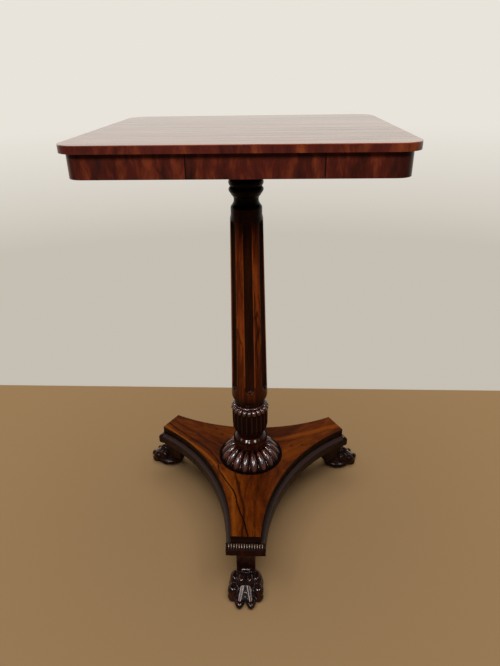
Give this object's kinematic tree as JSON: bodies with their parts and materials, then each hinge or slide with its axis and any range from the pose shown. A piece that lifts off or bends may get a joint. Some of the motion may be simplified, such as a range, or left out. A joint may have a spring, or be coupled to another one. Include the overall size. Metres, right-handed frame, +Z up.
{
  "type": "pedestal occasional table",
  "caption": "Pedestal teapoy: rounded rectangular top on a shallow frieze, fluted and reeded pillar, hollow-sided three-armed platform on lion's paw feet.",
  "frame": {"origin": "on the floor under the middle of the whole table's box; the pillar's axis stands at x 0, y 0.0324", "axes": "+Z up, -Y towards the front paw, X along the top's longer side"},
  "size_m": [0.4798, 0.4768, 0.735],
  "materials": {
    "top_rosewood": "french polished rosewood veneer, lengthwise grain",
    "cross_grain_rosewood": "french polished rosewood veneer, upright grain",
    "figured_rosewood": "french polished figured rosewood veneer",
    "fascia_rosewood": "french polished dark rosewood veneer",
    "moulding_rosewood": "polished dark rosewood moulding",
    "turned_rosewood": "polished turned and carved rosewood",
    "carved_rosewood": "polished carved rosewood, nearly black",
    "mahogany_carcase": "planed, unpolished mahogany",
    "beech_fittings": "plain, unpolished beech",
    "iron_screws": "bare, darkened iron"
  },
  "bodies": {
    "root": {"beaded_moulding_front": "moulding_rosewood", "beaded_moulding_left": "moulding_rosewood", "beaded_moulding_right": "moulding_rosewood", "bearer_left": "mahogany_carcase", "bearer_right": "mahogany_carcase", "bearer_screws": "iron_screws", "block_screws": "iron_screws", "capital": "turned_rosewood", "corner_block_back_left": "mahogany_carcase", "corner_block_back_right": "mahogany_carcase", "corner_block_front_left": "mahogany_carcase", "corner_block_front_right": "mahogany_carcase", "edge_band_back": "cross_grain_rosewood", "edge_band_corners": "cross_grain_rosewood", "edge_band_front": "cross_grain_rosewood", "edge_band_left": "cross_grain_rosewood", "edge_band_right": "cross_grain_rosewood", "end_fascia_front": "fascia_rosewood", "end_fascia_left": "fascia_rosewood", "end_fascia_right": "fascia_rosewood", "foot_dowels": "beech_fittings", "frieze_rail_back": "mahogany_carcase", "frieze_rail_front": "mahogany_carcase", "frieze_rail_left": "mahogany_carcase", "frieze_rail_right": "mahogany_carcase", "frieze_veneer_back": "cross_grain_rosewood", "frieze_veneer_back_left": "cross_grain_rosewood", "frieze_veneer_back_right": "cross_grain_rosewood", "frieze_veneer_front": "cross_grain_rosewood", "frieze_veneer_front_left": "cross_grain_rosewood", "frieze_veneer_front_right": "cross_grain_rosewood", "frieze_veneer_left": "cross_grain_rosewood", "frieze_veneer_right": "cross_grain_rosewood", "gadroon_boss": "turned_rosewood", "glue_blocks": "beech_fittings", "lion_paw_front": "carved_rosewood", "lion_paw_left": "carved_rosewood", "lion_paw_right": "carved_rosewood", "mitre_tongues": "beech_fittings", "pillar_block": "mahogany_carcase", "pillar_collar": "turned_rosewood", "pillar_shaft": "turned_rosewood", "platform_arm_front": "mahogany_carcase", "platform_arm_left": "mahogany_carcase", "platform_arm_right": "mahogany_carcase", "platform_leaf_front": "figured_rosewood", "platform_leaf_left": "figured_rosewood", "platform_leaf_right": "figured_rosewood", "reeded_vase": "turned_rosewood", "side_fascia_back": "fascia_rosewood", "side_fascia_left": "fascia_rosewood", "side_fascia_right": "fascia_rosewood", "side_moulding_back": "moulding_rosewood", "side_moulding_left": "moulding_rosewood", "side_moulding_right": "moulding_rosewood", "tenon_wedges": "beech_fittings", "top_core": "mahogany_carcase", "top_veneer": "top_rosewood"}
  },
  "joints": []
}
